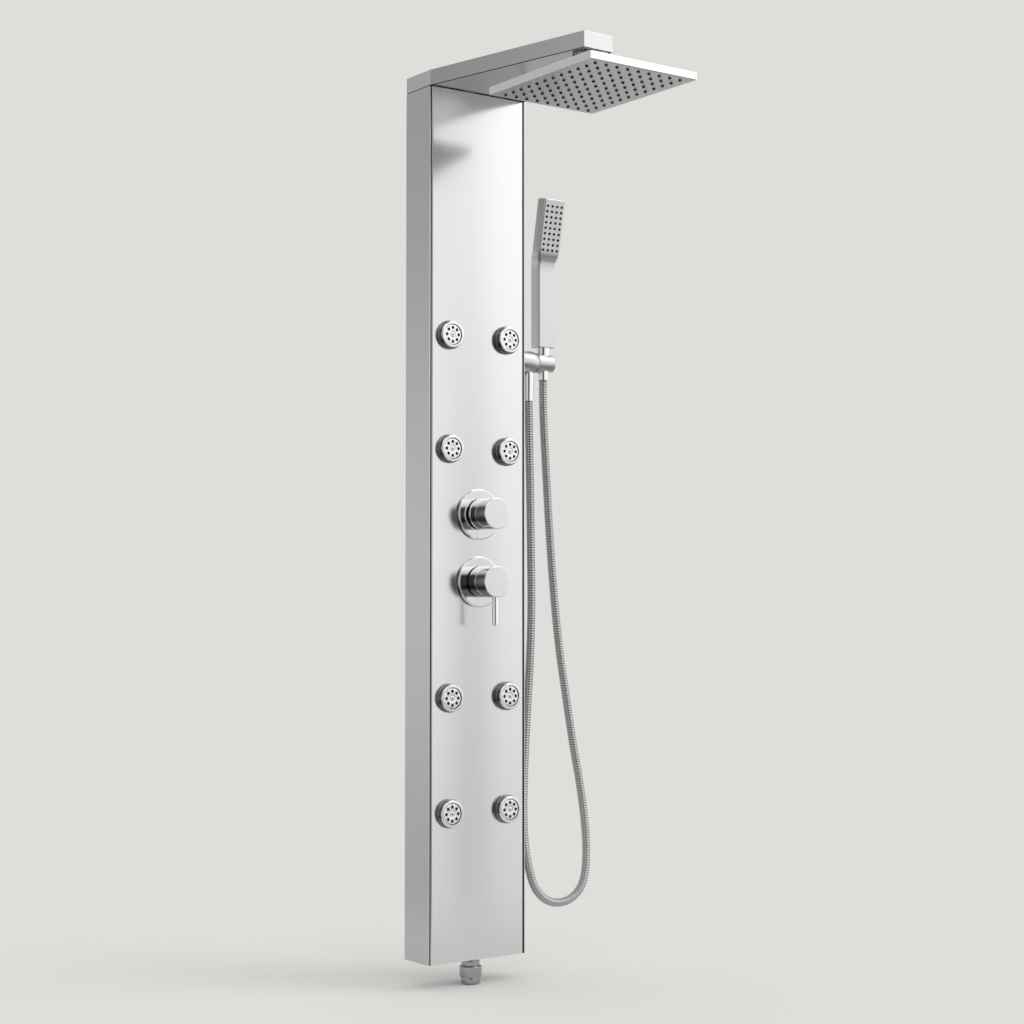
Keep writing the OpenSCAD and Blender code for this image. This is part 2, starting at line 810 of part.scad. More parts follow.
// Points on a smooth curve through the hose's route, and the length along it
function curve_point(p, i, t) = let (
    a = p[max(i - 1, 0)], b = p[i], c = p[i + 1], d = p[min(i + 2, len(p) - 1)]
  ) 0.5 * (
    2 * b + (c - a) * t + (2 * a - 5 * b + 4 * c - d) * t * t + (3 * b - a - 3 * c + d) * t * t * t
  );
steps = 10;
fine = [
  for (i = [0 : len(hose_route) - 2], k = [0 : steps - 1]) curve_point(hose_route, i, k / steps),
  hose_route[len(hose_route) - 1]
];
along = [
  for (i = 0, s = 0; i < len(fine); s = s + norm(fine[min(i + 1, len(fine) - 1)] - fine[i]), i = i + 1) s
];
hose_l = along[len(along) - 1];
x_at = [for (i = [0 : len(fine) - 1]) [along[i], fine[i][0]]];
y_at = [for (i = [0 : len(fine) - 1]) [along[i], fine[i][1]]];
z_at = [for (i = [0 : len(fine) - 1]) [along[i], fine[i][2]]];
function hose_at(s) = [lookup(s, x_at), lookup(s, y_at), lookup(s, z_at)];
function unit(v) = v / norm(v);

// One ring of a swept tube, square to the route at the distance s along it
function hose_ring(s, r) = let (
    way = unit(hose_at(min(s + 1, hose_l)) - hose_at(max(s - 1, 0))),
    side = unit(cross(way, [0, 1, 0])),
    front = cross(side, way)
  ) [
    for (k = [0 : hose_sides - 1]) let (a = 360 * k / hose_sides)
      hose_at(s) + r * (cos(a) * side + sin(a) * front)
  ];

// Triangles between rings that follow each other in the list of points
function skin(first, rings, flip) = [
  for (i = [0 : rings - 2], k = [0 : hose_sides - 1]) let (
    a = first + i * hose_sides + k,
    b = first + i * hose_sides + (k + 1) % hose_sides,
    c = a + hose_sides,
    d = b + hose_sides
  ) each flip ? [[a, b, c], [b, d, c]] : [[a, c, b], [b, c, d]]
];

// Triangles of the flat ring at one end, between the outer skin and the bore
function end_face(outer, inner, flip) = [
  for (k = [0 : hose_sides - 1]) let (
    a = outer + k, b = outer + (k + 1) % hose_sides, c = inner + k, d = inner + (k + 1) % hose_sides
  ) each flip ? [[a, c, b], [b, c, d]] : [[a, b, c], [b, d, c]]
];

// Ribbed metal hose, bored from end to end
module hose() {
  rings = 2 * hose_ribs + 1;
  bores = rings * hose_sides;
  last = (hose_bore_rings - 1) * hose_sides;
  points = [
    for (i = [0 : rings - 1]) each hose_ring(hose_l * i / (rings - 1), i % 2 == 0 ? hose_valley_r : hose_r),
    for (i = [0 : hose_bore_rings - 1]) each hose_ring(hose_l * i / (hose_bore_rings - 1), hose_bore_r)
  ];
  faces = concat(
    skin(0, rings, false),
    skin(bores, hose_bore_rings, true),
    end_face(0, bores, false),
    end_face(bores - hose_sides, bores + last, true)
  );
  color(chrome) column() polyhedron(points, faces);
}

// Least gap of the hose to itself, between points that are not neighbours along it
gap_step = 12;
near = 5 * hose_r * 2;
hose_gap = min([
  for (s = [0 : gap_step : hose_l], t = [s + near : gap_step : hose_l])
    norm(hose_at(s) - hose_at(t)) - 2 * hose_r
]);
echo(hose_length = hose_l, least_gap = hose_gap);  // hose

// Turning half of the holder: a tapered seat with a slot at the end for the hose
module holder_swivel() {
  rise = (nut_high_r - nut_low_r) / (nut_high_z - nut_low_z);
  low = holder_z - swivel_r - cut;
  high = holder_z + swivel_r + cut;
  end = 4;
  color(satin) column() difference() {
    along_holder() difference() {
      translate([0, 0, 0.3]) turned_ring(0, swivel_r, seam_x, swivel_end - 0.3, end);
      translate([0, 0, seam_x - cut]) cylinder(h = pivot_l + 1.4, r = pivot_r + run_gap);
    }
    translate([handset_x, holder_y, low]) cylinder(
      h = high - low,
      r1 = nut_low_r + rise * (low - nut_low_z) + slide_gap,
      r2 = nut_low_r + rise * (high - nut_low_z) + slide_gap
    );
    box([handset_x, swivel_end + cut], [holder_y - slot_w / 2, holder_y + slot_w / 2], [low, high]);
  }
}

// Cone nut on the hose's end: it seats in the holder and screws onto the handle
module hose_cone_nut() {
  color(chrome) column() translate([handset_x, holder_y, 0]) difference() {
    translate([0, 0, nut_low_z]) cylinder(h = nut_high_z - nut_low_z, r1 = nut_low_r, r2 = nut_high_r);
    translate([0, 0, nut_low_z - cut]) cylinder(h = nut_high_z - nut_low_z, r = nut_bore_r);
    translate([0, 0, nut_thread_z]) cylinder(h = 20, r = tail_r);
  }
}

// Rounded rectangle, centred, for the hand shower's cross-sections
module round_rect(w, d, r) {
  square([w - 2 * r, d], center = true);
  square([w, d - 2 * r], center = true);
  for (x = [-1, 1], y = [-1, 1]) translate([x * (w / 2 - r), y * (d / 2 - r)]) circle(r);
}

// Places what follows in the frame of the leaning spray part, whose front is at local -Y
module at_spray() {
  translate([handset_x, holder_y - 7, nut_high_z + handle_l + shoulder_l])
    rotate([spray_lean, 0, 0]) children();
}

module at_spray_nozzles() {
  for (i = [0 : spray_cols - 1], j = [0 : spray_rows - 1])
    translate([
      (i - (spray_cols - 1) / 2) * spray_pitch_x,
      -spray_d / 2,
      spray_margin - 4 + j * spray_pitch_z
    ])
      rotate([90, 0, 0]) children();
}

// Hand shower body: a straight handle, a shoulder, and a wider spray part that leans forward
module handset_shell() {
  slice = 0.2;
  step = 0.15;
  neck_w = handle_w - 2 * step;
  neck_d = handle_d - 2 * step;
  color(satin) column() difference() {
    union() {
      translate([handset_x, holder_y, nut_high_z])
        linear_extrude(handle_l) round_rect(handle_w, handle_d, shell_r);
      hull() {
        translate([handset_x, holder_y, nut_high_z + handle_l])
          linear_extrude(slice) round_rect(neck_w, neck_d, shell_r, $fn = 16);
        at_spray() translate([0, 0, -slice])
          linear_extrude(slice) round_rect(spray_w - 2 * step, spray_d - 2 * step, shell_r, $fn = 16);
      }
      at_spray() linear_extrude(spray_l) round_rect(spray_w, spray_d, shell_r);
      translate([handset_x, holder_y, nut_thread_z]) cylinder(h = 20, r = tail_r - 0.05);
    }
    at_spray() at_spray_nozzles() translate([0, 0, -4]) cylinder(h = 6, r = spray_nozzle_r + run_gap);
    at_spray() box(
      [shell_wall - spray_w / 2, spray_w / 2 - shell_wall],
      [3 - spray_d / 2, spray_d / 2 - shell_wall],
      [shell_wall, spray_l - shell_wall]
    );
    translate([handset_x, holder_y, nut_high_z + 3])
      linear_extrude(handle_l - 6) round_rect(handle_w - 2 * shell_wall, handle_d - 2 * shell_wall, 1);
    translate([handset_x, holder_y - 5, nut_high_z + handle_l - 6]) cylinder(h = 21, r = 5);
    translate([handset_x, holder_y, nut_thread_z - cut]) cylinder(h = 20, r = 6);
  }
}

// Rubber nozzles of the hand shower
module handset_nozzles() {
  color(nozzle_grey) column() at_spray() at_spray_nozzles() {
    translate([0, 0, -3]) cylinder(h = 3, r = spray_nozzle_r);
    cylinder(h = spray_nozzle_out, r1 = spray_nozzle_r, r2 = spray_nozzle_r - 0.5);
  }
}

// Hollow round knob
module knob(z) {
  edge = 1.2;
  out_of_front(0, z) difference() {
    turned_ring(0, knob_d / 2, knob_back, knob_proud, edge);
    translate([0, 0, knob_back - cut]) cylinder(h = sleeve_out - knob_back + 3 + cut, r = knob_hollow_r);
    cylinder(h = 40, r = spindle_r + 0.02);
  }
}

// Diverter knob, with a turned groove near its back
module diverter_knob() {
  color(chrome) column() difference() {
    knob(diverter_z);
    out_of_front(0, diverter_z) tube(knob_d / 2 - 0.8, knob_d, knob_back + 4, knob_back + 5.2);
  }
}

// Mixer knob, drilled from below for the lever
module mixer_knob() {
  color(chrome) column() difference() {
    knob(mixer_z);
    translate([0, -column_d - lever_y, mixer_z - knob_d]) cylinder(h = knob_d - 12, r = lever_d / 2 + 0.02);
  }
}

// Pin lever that hangs below the mixer knob
module mixer_lever() {
  tip = 1;
  color(chrome) column() translate([0, -column_d - lever_y, mixer_z]) rotate([180, 0, 0])
    rotate_extrude() polygon([
      [0, 12], [lever_d / 2, 12], [lever_d / 2, lever_l - tip], [lever_d / 2 - tip, lever_l], [0, lever_l]
    ]);
}

// Spindle between a valve and its knob
module spindle(z) {
  color(brass) column() out_of_front(0, z) translate([0, 0, -19]) cylinder(h = 59, r = spindle_r);
}

module diverter_spindle() {
  spindle(diverter_z);
}

module mixer_spindle() {
  spindle(mixer_z);
}

side_sheets();
front_plate();
corner_seals();
bottom_cap();
wall_brackets();
hang_rails();
arm_shell();
arm_underplate();
arm_seals();
arm_feed_pipe();
swivel_socket();
jet_bezel(1);  // jet_bezel_1
jet_bezel(2);  // jet_bezel_2
jet_bezel(3);  // jet_bezel_3
jet_bezel(4);  // jet_bezel_4
jet_bezel(5);  // jet_bezel_5
jet_bezel(6);  // jet_bezel_6
jet_bezel(7);  // jet_bezel_7
jet_bezel(8);  // jet_bezel_8
jet_washers();
jet_locknuts();
jet_pipes();
diverter_rose();
diverter_valve();
mixer_rose();
mixer_valve();
valve_locknuts();
link_pipe();
rain_pipe();
handset_pipe();
service_pipe();
union_neck();
union_nut();
holder_base();
holder_locknut();
hose_ferrule();
hose();
jet_insert(1);  // jet_insert_1
jet_insert(2);  // jet_insert_2
jet_insert(3);  // jet_insert_3
jet_insert(4);  // jet_insert_4
jet_insert(5);  // jet_insert_5
jet_insert(6);  // jet_insert_6
jet_insert(7);  // jet_insert_7
jet_insert(8);  // jet_insert_8
upper_ball_seat();
lower_ball_seat();
head_ball();
head_cover();
head_plate();
head_nozzles();
diverter_knob();
diverter_spindle();
mixer_knob();
mixer_lever();
mixer_spindle();
holder_swivel();
handset_shell();
handset_nozzles();
hose_cone_nut();
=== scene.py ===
# %% [markdown]
# A shower panel column
#
# This lesson dresses a wall-hung shower column: a tall stainless body, a tapered top arm with a rain head,
# eight body jets, two knobs and a hand shower on a ribbed hose. Its pieces come from the frame, which is
# loaded first and never moved. Every length here is in metres, and z is counted from the middle of the column.

# %% Load the frame
import json
import math

import bmesh
import bpy
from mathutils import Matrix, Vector


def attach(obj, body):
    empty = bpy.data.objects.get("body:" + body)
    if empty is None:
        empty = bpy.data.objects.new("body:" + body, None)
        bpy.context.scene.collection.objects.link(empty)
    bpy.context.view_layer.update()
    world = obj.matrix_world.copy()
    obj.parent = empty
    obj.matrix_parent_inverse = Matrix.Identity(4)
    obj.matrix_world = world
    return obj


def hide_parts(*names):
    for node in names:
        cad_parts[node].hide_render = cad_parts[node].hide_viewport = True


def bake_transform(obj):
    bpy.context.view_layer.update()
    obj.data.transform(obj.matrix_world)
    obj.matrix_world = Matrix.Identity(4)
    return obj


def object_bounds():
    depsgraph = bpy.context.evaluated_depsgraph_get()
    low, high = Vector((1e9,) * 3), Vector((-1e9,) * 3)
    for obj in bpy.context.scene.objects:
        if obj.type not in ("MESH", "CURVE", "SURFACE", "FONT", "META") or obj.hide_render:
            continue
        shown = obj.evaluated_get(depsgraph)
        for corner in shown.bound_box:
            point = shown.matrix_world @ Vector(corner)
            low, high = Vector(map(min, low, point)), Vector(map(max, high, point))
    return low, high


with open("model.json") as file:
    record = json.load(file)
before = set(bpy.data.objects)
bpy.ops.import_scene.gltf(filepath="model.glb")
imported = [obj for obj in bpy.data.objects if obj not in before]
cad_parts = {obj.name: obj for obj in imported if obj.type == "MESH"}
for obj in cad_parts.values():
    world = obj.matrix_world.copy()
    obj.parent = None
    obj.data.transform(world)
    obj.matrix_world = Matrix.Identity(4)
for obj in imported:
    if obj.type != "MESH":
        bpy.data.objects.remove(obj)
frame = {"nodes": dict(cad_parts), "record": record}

nodes = frame["nodes"]
cad_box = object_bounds()
COLUMN_H = 1.4
print("nodes in the frame:", len(nodes), "box:", cad_box)

# %% [markdown]
# The camera
#
# The photograph is taken from the left and a little below the middle of the column, with a long lens.
# A long lens keeps the tall edges nearly parallel, so the distance and the focal length go together:
# both were settled first, from the straight edges of the column and of the rain head.

# %% Camera
LENS_MM = 67.446
SENSOR_MM = 36
CAMERA_AT = (-1.7715, -2.6131, -0.1132)
CAMERA_TILT = math.radians(92.406)
CAMERA_TURN = math.radians(-35.876)
camera_data = bpy.data.cameras.new("photo_camera")
camera_data.lens = LENS_MM
camera_data.sensor_width = SENSOR_MM
camera_data.clip_end = 60
camera = bpy.data.objects.new("photo_camera", camera_data)
camera.location = CAMERA_AT
camera.rotation_euler = (CAMERA_TILT, 0, CAMERA_TURN)
bpy.context.scene.collection.objects.link(camera)
bpy.context.scene.camera = camera
print("camera at", tuple(camera.location))

# %% [markdown]
# The hose's route
#
# A metal shower hose hangs in one long loop from the fixed outlet up to the cone nut of the hand shower.
# A cord starts with its facts: where it leaves, how long it is, how thick it is. The points below are the
# same ones that the solid follows, counted from the column's bottom, and a smooth curve runs through them.

# %% Route
HOSE_D = 0.014
ROUTE = [
    (0.122, -0.042, 0.950), (0.122, -0.042, 0.934), (0.122, -0.042, 0.912), (0.123, -0.042, 0.850),
    (0.125, -0.042, 0.760), (0.126, -0.043, 0.650), (0.126, -0.044, 0.560), (0.122, -0.045, 0.470),
    (0.115, -0.046, 0.380), (0.109, -0.047, 0.290), (0.107, -0.048, 0.215), (0.111, -0.049, 0.160),
    (0.122, -0.050, 0.115), (0.136, -0.050, 0.091), (0.156, -0.050, 0.076), (0.180, -0.050, 0.071),
    (0.204, -0.050, 0.076), (0.223, -0.050, 0.091), (0.234, -0.049, 0.115), (0.238, -0.048, 0.155),
    (0.235, -0.047, 0.205), (0.226, -0.046, 0.265), (0.211, -0.045, 0.340), (0.197, -0.044, 0.420),
    (0.184, -0.043, 0.500), (0.174, -0.042, 0.590), (0.166, -0.042, 0.680), (0.159, -0.042, 0.780),
    (0.1535, -0.042, 0.870), (0.152, -0.042, 0.915), (0.152, -0.042, 0.940), (0.152, -0.042, 0.962),
    (0.152, -0.042, 0.984),
]


def smooth_route(points, steps=10):
    """Points on a smooth curve that runs through the given ones."""
    p = [Vector((x, y, z - COLUMN_H / 2)) for x, y, z in points]
    line = []
    for i in range(len(p) - 1):
        a, b, c, d = p[max(i - 1, 0)], p[i], p[i + 1], p[min(i + 2, len(p) - 1)]
        for k in range(steps):
            t = k / steps
            line.append(0.5 * (2 * b + (c - a) * t + (2 * a - 5 * b + 4 * c - d) * t**2
                               + (3 * b - a - 3 * c + d) * t**3))
    return line + [p[-1]]


def length_of(line):
    return sum((b - a).length for a, b in zip(line, line[1:]))


hose_line = smooth_route(ROUTE)
print("hose length:", round(length_of(hose_line), 3))

# %% [markdown]
# Shader maths as Python
#
# A material is a graph of nodes. Sums on its values read best as plain Python, so one small class wraps an
# output socket and turns +, -, * and / into Math nodes, and one method makes any other node.

# %% Wire and Graph
class Wire:
    """An output socket that takes part in sums."""

    def __init__(self, graph, socket):
        self.graph, self.socket = graph, socket

    def _sum(self, operation, a, b):
        return self.graph.node("ShaderNodeMath", {"operation": operation}, {0: a, 1: b})

    def __add__(self, other):
        return self._sum("ADD", self, other)

    def __radd__(self, other):
        return self._sum("ADD", other, self)

    def __sub__(self, other):
        return self._sum("SUBTRACT", self, other)

    def __rsub__(self, other):
        return self._sum("SUBTRACT", other, self)

    def __mul__(self, other):
        return self._sum("MULTIPLY", self, other)

    def __rmul__(self, other):
        return self._sum("MULTIPLY", other, self)

    def __truediv__(self, other):
        return self._sum("DIVIDE", self, other)

    def __rtruediv__(self, other):
        return self._sum("DIVIDE", other, self)


class Graph:
    """The nodes of one material or of the world."""

    def __init__(self, tree):
        self.tree = tree
        tree.nodes.clear()

    def node(self, kind, settings=None, values=None, out=0):
        """Adds a node: its settings first, then the values or wires of its sockets."""
        made = self.tree.nodes.new(kind)
        for name, value in (settings or {}).items():
            setattr(made, name, value)
        for key, value in (values or {}).items():
            if isinstance(value, Wire):
                self.tree.links.new(value.socket, made.inputs[key])
            else:
                made.inputs[key].default_value = value
        return Wire(self, made.outputs[out]) if len(made.outputs) else made

    def split(self, vector):
        """The x, y and z of a vector."""
        apart = self.node("ShaderNodeSeparateXYZ", None, {0: vector})
        return [Wire(self, output) for output in apart.socket.node.outputs]


print("shader helpers ready")

# %% [markdown]
# Metal finishes
#
# Stainless sheet is brushed along its length and then satin finished, so its highlights are soft and its
# roughness varies in long, thin streaks. Chrome plate is nearly a mirror. Both are metals, whose colour tints
# the reflection, so most of what shows comes from the roughness and from what there is to reflect.

# %% Finishes
def material(name):
    made = bpy.data.materials.new(name)
    made.use_nodes = True
    return made, Graph(made.node_tree)


def place(graph, scale):
    """Object coordinates, stretched."""
    where = graph.node("ShaderNodeTexCoord", out="Object")
    return graph.node("ShaderNodeMapping", {"vector_type": "POINT"}, {"Vector": where, "Scale": scale})


def noise(graph, scale, detail=3):
    return graph.node("ShaderNodeTexNoise", None, {"Vector": place(graph, scale), "Scale": 1.0, "Detail": detail})


def mix_colour(graph, factor, dark, light):
    return graph.node("ShaderNodeMix", {"data_type": "RGBA"}, {0: factor, 6: (*dark, 1), 7: (*light, 1)}, out=2)


def surface(graph, **values):
    shader = graph.node("ShaderNodeBsdfPrincipled", None, {k.replace("_", " "): v for k, v in values.items()})
    graph.node("ShaderNodeOutputMaterial", None, {"Surface": shader})


def brushed_steel(name, light, roughness, grain=(700, 700, 9), depth=0.03):
    made, graph = material(name)
    streak = noise(graph, grain)
    cloud = noise(graph, (6, 6, 6), 2)
    dark = tuple(0.93 * c for c in light)
    bump = graph.node("ShaderNodeBump", None, {"Strength": depth, "Distance": 0.0004, "Height": streak})
    surface(graph, Base_Color=mix_colour(graph, streak * 0.6 + cloud * 0.4, dark, light), Metallic=1.0,
            Roughness=roughness - 0.04 + streak * 0.05 + cloud * 0.03, Normal=bump)
    return made


def polished(name, light, roughness):
    made, graph = material(name)
    cloud = noise(graph, (40, 40, 40), 2)
    dark = tuple(0.96 * c for c in light)
    surface(graph, Base_Color=mix_colour(graph, cloud, dark, light), Metallic=1.0,
            Roughness=roughness + cloud * roughness)
    return made


def rubber(name, light, roughness, gloss=0.5):
    made, graph = material(name)
    grain = noise(graph, (900, 900, 900), 2)
    dark = tuple(0.7 * c for c in light)
    bump = graph.node("ShaderNodeBump", None, {"Strength": 0.15, "Distance": 0.0002, "Height": grain})
    surface(graph, Base_Color=mix_colour(graph, grain, dark, light), Metallic=0.0,
            Roughness=roughness - 0.05 + grain * 0.1, Normal=bump, Specular_IOR_Level=gloss)
    return made


def plate_steel(name, light, roughness, crown):
    """Brushed sheet whose wide face is slightly crowned from side to side, as a folded tray is."""
    made, graph = material(name)
    streak = noise(graph, (700, 700, 9))
    cloud = noise(graph, (5, 5, 5), 2)
    across, _, _ = graph.split(graph.node("ShaderNodeTexCoord", out="Object"))
    dark = tuple(0.96 * c for c in light)
    bow = graph.node("ShaderNodeBump", None, {"Strength": 1.0, "Distance": 1.0, "Height": across * across * -crown})
    bump = graph.node("ShaderNodeBump", None,
                      {"Strength": 0.03, "Distance": 0.0004, "Height": streak, "Normal": bow})
    surface(graph, Base_Color=mix_colour(graph, streak * 0.6 + cloud * 0.4, dark, light), Metallic=1.0,
            Roughness=roughness - 0.02 + streak * 0.03 + cloud * 0.02, Normal=bump)
    return made


def metal_with_painted_dark_band(name, start, end, painted_dark_tone, own_tone, smooth_in, smooth_out):
    """A turned metal part whose colour is painted dark between two depths, counted forward along -Y: painted shade
    and painted dark reflection. Its roughness changes there too.
    """
    made, graph = material(name)
    _, deep, _ = graph.split(graph.node("ShaderNodeTexCoord", out="Object"))
    after = graph.node("ShaderNodeMath", {"operation": "LESS_THAN"}, {0: deep, 1: start})
    before = graph.node("ShaderNodeMath", {"operation": "GREATER_THAN"}, {0: deep, 1: end})
    # The painted dark band lies between the two depths.
    painted_dark_mask = after * before
    cloud = noise(graph, (90, 90, 90))
    tones = [mix_colour(graph, cloud, tuple(0.9 * c for c in tone), tone) for tone in (own_tone, painted_dark_tone)]
    tone = graph.node("ShaderNodeMix", {"data_type": "RGBA"}, {0: painted_dark_mask, 6: tones[0], 7: tones[1]}, out=2)
    surface(graph, Base_Color=tone, Metallic=1.0,
            Roughness=smooth_out + painted_dark_mask * (smooth_in - smooth_out) + cloud * 0.02)
    return made


satin_front = plate_steel("satin_front_steel", (0.745, 0.745, 0.745), 0.17, crown=0.35)
satin_side = brushed_steel("satin_side_steel", (0.61, 0.61, 0.61), 0.26)
satin_arm = brushed_steel("satin_arm_steel", (0.70, 0.70, 0.70), 0.18, grain=(700, 12, 700))
satin_under = brushed_steel("satin_under_steel", (0.63, 0.63, 0.63), 0.26, grain=(400, 20, 400))
satin_handset = brushed_steel("satin_handset_metal", (0.66, 0.66, 0.66), 0.26, grain=(500, 500, 30))
satin_holder = brushed_steel("satin_holder_metal", (0.66, 0.66, 0.66), 0.30, grain=(60, 700, 700))
satin_plate = brushed_steel("satin_spray_plate", (0.64, 0.64, 0.64), 0.34, grain=(400, 20, 400))
mill_steel = brushed_steel("mill_steel", (0.50, 0.51, 0.52), 0.42, grain=(60, 60, 60), depth=0.1)
chrome = polished("chrome_plate", (0.90, 0.90, 0.91), 0.035)
# Painted dark reflection: chrome given a dark grey colour, which stands in for the dark surroundings these pieces
# show in their mirror.
chrome_painted_dark = polished("chrome_painted_dark", (0.40, 0.40, 0.41), 0.06)
hose_metal = polished("hose_metal", (0.44, 0.44, 0.44), 0.07)
jet_metal = polished("jet_face_plating", (0.86, 0.86, 0.87), 0.10)
raw_brass = brushed_steel("raw_brass", (0.72, 0.56, 0.30), 0.36, grain=(90, 90, 90), depth=0.1)
# Painted shade: in front of the wall rose the valve is painted dark grey instead of brass, where its neck shows in
# the gap behind each knob.
valve_brass_painted_shade = metal_with_painted_dark_band("valve_brass_painted_shade", -0.0715, -0.2, (0.25, 0.25, 0.26), (0.72, 0.56, 0.30), 0.2, 0.36)
# Painted dark reflection: each bezel's side wall, between the plate and the jet's face, is painted dark grey instead
# of bright chrome.
jet_chrome = metal_with_painted_dark_band("jet_chrome", -0.0702, -0.0802, (0.24, 0.24, 0.25), (0.90, 0.90, 0.91), 0.07, 0.04)
black_joint = rubber("black_joint", (0.006, 0.006, 0.006), 0.6, gloss=0.12)
nozzle_rubber = rubber("nozzle_rubber", (0.016, 0.016, 0.017), 0.5, gloss=0.3)
seat_plastic = rubber("seat_plastic", (0.05, 0.05, 0.055), 0.4)
print("materials:", len(bpy.data.materials))

# %% [markdown]
# Giving each solid its finish
#
# Each solid of the frame keeps its shape and place, and only its material slots are filled. The record names
# a slot for each one, and a few solids that share a slot but look different in the photograph are named apart.

# %% Finish by slot
BY_SLOT = {
    "satin_steel": satin_front, "side_steel": satin_side, "fixing_steel": mill_steel, "black_rubber": black_joint,
    "nozzle_rubber": nozzle_rubber, "seat_plastic": seat_plastic, "bare_brass": raw_brass, "chrome": chrome,
    "jet_face": jet_metal, "hose_steel": hose_metal,
}
BY_NODE = {
    "arm_shell": satin_arm, "arm_underplate": satin_under, "head_plate": satin_plate,
    "handset_shell": satin_handset, "holder_base": satin_holder, "holder_swivel": satin_holder,
    "diverter_valve": valve_brass_painted_shade, "mixer_valve": valve_brass_painted_shade,
}
BY_NODE.update({"jet_bezel_%d" % n: jet_chrome for n in range(1, 9)})
# The union, the swivel socket and the head ball get the painted dark reflection.
BY_NODE.update({name: chrome_painted_dark for name in ("union_neck", "union_nut", "swivel_socket", "head_ball")})
slot_of = {s["node"]: s["material_slot"] for s in frame["record"]["subparts"]}


def dress(piece, finish):
    piece.data.materials.clear()
    piece.data.materials.append(finish)


for name, solid in nodes.items():
    dress(solid, BY_NODE.get(name, BY_SLOT[slot_of[name]]))
print("solids dressed:", len(nodes))

# %% [markdown]
# The ribbed hose
#
# The hose is a strip wound into interlocked rings, so what shows is a row of rounded ribs with thin dark
# grooves between them. The ribs repeat along a path, which is a task for Geometry Nodes: the line is cut into
# even steps, each step gets a radius that swells and sinks, and a circle is swept along it.

# %% Geometry Nodes helper
class Tree:
    """A Geometry Nodes tree with named inputs."""

    def __init__(self, name):
        self.group = bpy.data.node_groups.new(name, "GeometryNodeTree")
        self.group.interface.new_socket("Geometry", in_out="INPUT", socket_type="NodeSocketGeometry")
        self.group.interface.new_socket("Geometry", in_out="OUTPUT", socket_type="NodeSocketGeometry")
        self.start = self.group.nodes.new("NodeGroupInput")
        self.end = self.group.nodes.new("NodeGroupOutput")
        self.inputs = {}

    def number(self, name, value, kind="NodeSocketFloat"):
        socket = self.group.interface.new_socket(name, in_out="INPUT", socket_type=kind)
        socket.default_value = value
        self.inputs[name] = (socket.identifier, value)
        return self.start.outputs[name]

    def set(self, name, value):
        """Changes a number for what the tree grows next."""
        self.inputs[name] = (self.inputs[name][0], value)

    def node(self, kind, settings=None, values=None, out=0):
        made = self.group.nodes.new(kind)
        for key, value in (settings or {}).items():
            setattr(made, key, value)
        for key, value in (values or {}).items():
            if isinstance(value, bpy.types.NodeSocket):
                self.group.links.new(value, made.inputs[key])
            else:
                made.inputs[key].default_value = value
        return made.outputs[out]

    def math(self, operation, a, b=0.0):
        return self.node("ShaderNodeMath", {"operation": operation}, {0: a, 1: b})

    def finish(self, geometry, finish):
        real = self.node("GeometryNodeRealizeInstances", None, {0: geometry})
        done = self.node("GeometryNodeSetMaterial", None, {"Geometry": real, "Material": finish})
        self.group.links.new(done, self.end.inputs[0])


def grown(name, carrier, tree):
    """The plain mesh that a tree grows on a carrier object, which is then removed."""
    bpy.context.scene.collection.objects.link(carrier)
    modifier = carrier.modifiers.new("grow", "NODES")
    modifier.node_group = tree.group
    for identifier, value in tree.inputs.values():
        modifier[identifier] = value
    bpy.context.view_layer.update()
    graph = bpy.context.evaluated_depsgraph_get()
    mesh = bpy.data.meshes.new_from_object(carrier.evaluated_get(graph), depsgraph=graph)
    mesh.name = name
    piece = bpy.data.objects.new(name, mesh)
    bpy.context.scene.collection.objects.link(piece)
    carrier.modifiers.clear()
    bpy.data.objects.remove(carrier)
    return piece


print("geometry helpers ready")

# %% Ribs
RIB_PITCH = 0.0042
RIB_STEPS = 10
RIB_SIDES = 20
RIB_FULLNESS = 0.45
GROOVE = 0.0010


def line_carrier(name, line):
    data = bpy.data.curves.new(name, "CURVE")
    data.dimensions = "3D"
    spline = data.splines.new("POLY")
    spline.points.add(len(line) - 1)
    for point, where in zip(spline.points, line):
        point.co = (*where, 1)
    return bpy.data.objects.new(name, data)


ribs = Tree("hose_ribs")
rib_count = ribs.number("Ribs", round(length_of(hose_line) / RIB_PITCH), "NodeSocketInt")
rib_steps = ribs.number("Steps per rib", RIB_STEPS, "NodeSocketInt")
outer = ribs.number("Radius", HOSE_D / 2)
depth = ribs.number("Groove depth", GROOVE)
step_total = ribs.math("ADD", ribs.math("MULTIPLY", rib_count, rib_steps), 1)
even = ribs.node("GeometryNodeResampleCurve", None, {"Curve": ribs.start.outputs[0], "Count": step_total})
phase = ribs.math("DIVIDE", ribs.node("GeometryNodeInputIndex"), rib_steps)
swell = ribs.math("ABSOLUTE", ribs.math("SINE", ribs.math("MULTIPLY", phase, math.pi)))
lift = ribs.math("POWER", swell, RIB_FULLNESS)
radius = ribs.math("SUBTRACT", outer, ribs.math("MULTIPLY", depth, ribs.math("SUBTRACT", 1.0, lift)))
ring = ribs.node("GeometryNodeCurvePrimitiveCircle", {"mode": "RADIUS"}, {"Resolution": RIB_SIDES, "Radius": 1.0})
tube = ribs.node("GeometryNodeCurveToMesh", None,
                 {"Curve": even, "Profile Curve": ring, "Scale": radius, "Fill Caps": True})
smooth = ribs.node("GeometryNodeSetShadeSmooth", None, {"Geometry": tube})
ribs.finish(smooth, hose_metal)


print("rib tree nodes:", len(ribs.group.nodes))

# %% [markdown]
# One hose in two pieces
#
# The holder tilts, and only the top of the hose may go with it, not the strand beside it that leaves the
# outlet at the same height. So the one hose is grown as two pieces, which meet in a groove between two ribs
# where the eye sees no joint. The long piece stays on the panel, and the short one runs up to the hand shower.

